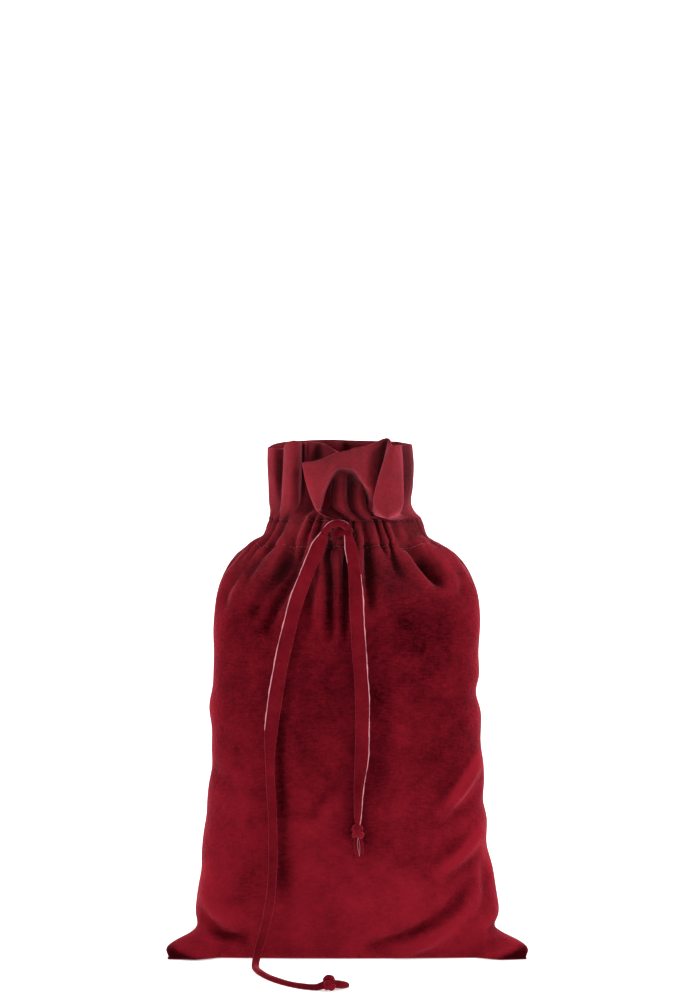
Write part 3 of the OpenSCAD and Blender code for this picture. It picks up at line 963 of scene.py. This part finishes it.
target, levels = target_shape()
cloth = relax(laid_cloth(target, levels), levels, STEPS)
cloth = softened(cloth, levels)

# ---- seams, hem and pieces
LAYER = 2.8  # from the heading's outer face to its facing's inner face
CLOTH = 1.1  # thickness of one layer


def stitched(x, levels):
    """Press the stitch lines and the side seams into the cloth."""
    up = np.arange(x.shape[1])
    ripple = 0.3 * np.sin(up / 1.9) + 0.3 * np.sin(up / 3.3 + 1)
    seam = hump(from_seams(), 0.8)[:, None] * (1.5 + ripple[None])
    seam *= clamped(levels / 0.6)[None]
    foot, head = (hump(levels - line, 0.045) * 1.3 for line in (CHANNEL_FOOT, CHANNEL_HEAD))
    return x - normals(x) * (seam + foot[None] + head[None])[..., None]


cloth = stitched(cloth, levels)
out_normal = unit(blurred(normals(cloth), 1))


def with_hem(x, n, levels):
    """The heading's cloth goes over the hem and down inside to the channel's foot."""
    top = x[:, -1]
    top_n = n[:, -1]
    up = unit(x[:, -1] - x[:, -2])
    centre = top - top_n * LAYER / 2
    turn = [centre + LAYER / 2 * (math.cos(a) * top_n + math.sin(a) * up)
            for a in np.radians((45, 90, 135))]
    foot = int(np.searchsorted(levels, CHANNEL_FOOT))
    depth = np.where((levels > CHANNEL_FOOT) & (levels < CHANNEL_HEAD), LAYER + 4, LAYER)
    inside = (x - n * depth[None, :, None])[:, foot:][:, ::-1]
    return np.concatenate([x, np.stack(turn, axis=1), inside], axis=1)


def painted_light_and_shade(x, n):
    """Painted light and shade: lighter on ridges and darker in valleys, with painted highlights
    and painted shadows laid on as lines.
    """
    close = ((x - blurred(x, 3)) * n).sum(-1) / 2.2
    broad = ((x - blurred(x, 8)) * n).sum(-1) / 9.0
    relief = np.tanh(close) * 0.11 + np.tanh(broad) * 0.08
    return relief + press(x, PAINTED_HIGHLIGHTS, 1, spill=0.4) + press(x, PAINTED_SHADE, -1, spill=1)


whole = with_hem(cloth, out_normal, levels)
unmarked = np.zeros((AROUND, whole.shape[1] - len(levels)))
# painted light and shade on the outer cloth, and none inside
whole_painted_light = np.concatenate([painted_light_and_shade(cloth, out_normal), unmarked], axis=1)


def panel_piece(name, columns, rows, material, node):
    """A piece of the grid as a mesh, with its own thickness."""
    columns = np.array(columns) % AROUND
    grid = whole[columns][:, rows]
    nc, nr = grid.shape[:2]
    index = np.arange(nc * nr).reshape(nc, nr)
    faces = np.stack([index[:-1, :-1], index[1:, :-1], index[1:, 1:], index[:-1, 1:]],
                     axis=-1).reshape(-1, 4)
    u = np.repeat(np.arange(nc) * COLUMN * MM, nr)
    v = np.tile(np.arange(nr) * ROW * MM, nc)
    piece = make_object(name, grid.reshape(-1, 3), faces, material,
                        uv=np.stack([u, v], axis=1))
    # the painted light and shade goes to the velvet as an attribute
    pile_and_painted_light = piece.data.attributes.new("pile_and_painted_light", "FLOAT", "POINT")
    pile_and_painted_light.data.foreach_set("value", whole_painted_light[columns][:, rows].ravel())
    thick = piece.modifiers.new("cloth", "SOLIDIFY")
    thick.thickness = CLOTH * MM
    thick.offset = -1
    return hand_over(piece, "sack", node)


FRONT, BACK = range(0, PANEL + 1), range(PANEL, AROUND + 1)
CUT = len(levels) + 6  # the facing starts at this row, just inside the mouth
OUTER, INNER = slice(0, CUT), slice(CUT - 1, None)
front_cloth = panel_piece("front_velvet", FRONT, OUTER, VELVET, "front_panel")
back_cloth = panel_piece("back_velvet", BACK, OUTER, VELVET, "back_panel")
front_inner = panel_piece("front_heading_facing", FRONT, INNER, INSIDE,
                          "front_facing")
back_inner = panel_piece("back_heading_facing", BACK, INNER, INSIDE,
                         "back_facing")

# ---- sewing and drawstring
SAMPLE = 0.5  # between points along a row of stitches


def stitch_line(name, line, outward, node, length=3.4, gap=0.9, width=0.5):
    """Short stitches laid end to end along a line, some of them sunk in the pile."""
    both = resample(np.hstack([line, outward]), int(length_of(line) / SAMPLE))
    place, normal = both[:, :3], unit(both[:, 3:])
    step = int(round((length + gap) / SAMPLE))
    shown = int(round(length / SAMPLE)) + 1
    bow = np.sin(np.linspace(0, math.pi, shown))
    parts = []
    for first in range(0, len(place) - shown, step):
        part = slice(first, first + shown)
        sunk = 0.45 * max(0.0, math.sin(first * 0.043) + 0.5 * math.sin(first * 0.31))
        centres = place[part] + normal[part] * (0.22 * bow - 0.05 - sunk)[:, None]
        parts.append(tube(centres, normal[part], width * (0.55 + 0.45 * bow),
                          0.55 * (0.5 + 0.5 * bow), sides=6, squareness=1))
    hand_over(make_object(name, *joined(parts), THREAD), "sack", node)


def row_of(v):
    return int(np.argmin(np.abs(levels - v)))


def ring_line(row, depth):
    """A closed line around the sack on one row of the cloth, sunk by depth."""
    line = cloth[:, row] - out_normal[:, row] * depth
    return np.vstack([line, line[:1]]), np.vstack([out_normal[:, row], out_normal[:1, row]])


for name, line_level, edge in (("upper", CHANNEL_HEAD, "top"), ("lower", CHANNEL_FOOT, "bottom")):
    stitch_line(f"{name}_channel_stitches", *ring_line(row_of(line_level), 0.0),
                f"channel_{edge}_stitching")
ladder = slice(row_of(CHANNEL_HEAD + 0.55), row_of(CHANNEL_HEAD + 1.6))
stitch_line("right_heading_seam_stitches", cloth[PANEL, ladder], out_normal[PANEL, ladder],
            None, length=2.2, gap=1.4, width=1.0)


def turning(name, line, inward, node, width=9.0):
    """A seam's two raw edges, turned inside and pressed together."""
    parts = []
    for layer in (-1, 1):
        side = unit(np.cross(unit(np.gradient(line, axis=0)), inward))
        wave = 0.5 * np.sin(np.arange(len(line)) / 3.1 + layer)
        middle = line + inward * (width / 2 + 1.4) + side * (layer * 0.62)
        parts.append(tube(middle, side, width + wave, 1.1, sides=10, squareness=0.4))
    hand_over(make_object(name, *joined(parts), SEAM_INSIDE), "sack", node)


top_row = row_of(CHANNEL_FOOT) - 2
for side, column in (("left", 0), ("right", PANEL)):
    turning(f"{side}_seam_turning", cloth[column, 4:top_row], -out_normal[column, 4:top_row],
            f"{side}_side_seam")
bottom = cloth[6:PANEL - 5, 0]
inward = np.zeros_like(bottom)
inward[:, 1] = 1
turning("bottom_seam_turning", bottom + (0, 3.0, 3.0), inward, "bottom_seam")

# the drawstring in its channel, a flattened strip drawn round the neck
channel_row = row_of(CHANNEL_FOOT + 0.5)
inside_line, inside_out = ring_line(channel_row, 4.6)
inside_line = blurred(np.repeat(inside_line[:-1, None], 3, axis=1), 3)[:, 0]
inside_line = np.vstack([inside_line, inside_line[:1]])
inside_strip = tube(inside_line, inside_out, 12.0, 2.6)
hand_over(make_object("drawstring_in_channel", *inside_strip, STRIP), "sack",
          "channel_drawstring")

# the half knot: one strand comes over the top, the other passes under it
OVER_STRAND = [(-26, -61.5, 459), (-23, -63.5, 465), (-18, -66, 470.5), (-11, -67, 473),
               (-4, -66, 471.5), (0, -61, 468), (3, -54, 464), (5, -46, 461), (6, -38, 459)]
UNDER_STRAND = [(-18, -38, 459), (-17, -46, 460), (-13, -54, 461), (-7, -58.5, 462.5),
                (-2, -61, 463), (1.5, -62, 461), (2.5, -62.5, 457)]


def strand(path, width, thick):
    """A strand of the half knot and the line along its raw edge."""
    centres = smooth_curve(path, 60)
    toward = unit(centres - np.array((-8, -30, 462)))
    rings, across, _ = swept(centres, toward, width, thick)
    wobble = 0.3 * np.sin(np.arange(60) / 2.7)[:, None]
    edge = centres + across * (wobble - (width / 2 - 0.2))
    shown = slice(5, 48)
    return tube_mesh(rings), tube(edge[shown], toward[shown], 1.5, 1.0, sides=6)


over, over_edge = strand(OVER_STRAND, 7.2, 4.2)
under, _ = strand(UNDER_STRAND, 7.5, 3.2)
half_knot = make_object("half_knot_strands", *joined([over, under]), STRIP)
knot_edge = make_object("half_knot_raw_edge", *over_edge, RAW_EDGE)
hand_over(half_knot, "sack", "drawstring_half_knot")
hand_over(knot_edge, "sack")


def buttonhole(name, x, node):
    """A ring of close stitches bound over the edge of the slit."""
    row = cloth[:PANEL, channel_row]
    column = int(np.argmin(np.abs(row[:, 0] - x)))
    centre = cloth[column, channel_row]
    outward = unit(out_normal[max(0, column - 2):column + 3, channel_row].mean(0))
    side = unit(np.cross((0, 0, 1.0), outward))
    up = np.cross(outward, side)
    parts = []
    for angle in np.linspace(0, 2 * math.pi, 44, endpoint=False):
        radial = side * math.cos(angle) * 0.62 + up * math.sin(angle)
        ends = [centre + radial * reach + outward * lift
                for reach, lift in ((3.3, 0.0), (3.7, 0.75), (4.6, 0.85), (5.2, 0.1))]
        parts.append(tube(smooth_curve(ends, 6), outward, 0.5, 0.5, sides=6, squareness=1))
    hand_over(make_object(name, *joined(parts), BINDING), "sack", node)


for side, x in (("left", -18), ("right", 6)):
    buttonhole(f"{side}_buttonhole_binding", x, f"{side}_buttonhole")

# ---- floor and light
FLOOR_HALF = 30000.0
WALL_Y, WALL_TOP, WALL_BEND = 2200.0, 4000.0, 800.0
PAPER = (0.95, 0.95, 0.95)


def make_floor():
    """White paper that sweeps up into a wall behind the sack."""
    start = WALL_Y - WALL_BEND
    profile = [(-FLOOR_HALF, 0.0), (start, 0.0)]
    profile += [(start + WALL_BEND * math.sin(a), WALL_BEND - WALL_BEND * math.cos(a))
                for a in np.radians(np.arange(10, 91, 10))]
    profile.append((WALL_Y, WALL_TOP))
    points = [(x, y, z) for x in (-FLOOR_HALF, FLOOR_HALF) for y, z in profile]
    n = len(profile)
    faces = [(k, n + k, n + k + 1, k + 1) for k in range(n - 1)]
    material, tree, shader = new_material("paper", PAPER)
    # the paper glows less near the sack, so that its underside stays in shade
    place = add(tree, "ShaderNodeTexCoord").outputs["Object"]
    distance = tree.nodes.new("ShaderNodeVectorMath")
    distance.operation = "LENGTH"
    feed(tree, distance.inputs[0], place)
    glow = stepped(tree, distance.outputs["Value"], 0.2, 0.9, 0.45, 0.75)
    set_up(tree, shader, {"Base Color": (*PAPER, 1), "Roughness": 0.9,
                          "Emission Color": (1, 1, 1, 1), "Emission Strength": glow})
    make_object("floor", points, faces, material)


def add_light(name, place, aim, size, power):
    """A square softbox, turned towards a point."""
    data = bpy.data.lights.new(name, "AREA")
    data.size = size
    data.energy = power
    light = bpy.data.objects.new(name, data)
    light.location = place
    direction = np.array(aim) - np.array(place)
    yaw = math.atan2(direction[1], direction[0])
    pitch = math.atan2(math.hypot(direction[0], direction[1]), -direction[2])
    light.rotation_euler = (pitch, 0, yaw - math.pi / 2)
    bpy.context.scene.collection.objects.link(light)


make_floor()
world = bpy.data.worlds.new("studio")
world.use_nodes = True
set_up(world.node_tree, world.node_tree.nodes["Background"],
       {"Color": (1, 1, 1, 1), "Strength": 0.20})
bpy.context.scene.world = world
bpy.context.scene.view_settings.view_transform = "Standard"
LIT = (0, 0, 0.3)
add_light("left_softbox", (-2.1, -1.2, 1.4), LIT, 1.0, 46)
add_light("right_softbox", (2.2, -0.8, 1.1), LIT, 1.0, 54)
add_light("top_softbox", (0.0, -0.4, 2.2), LIT, 1.2, 16)
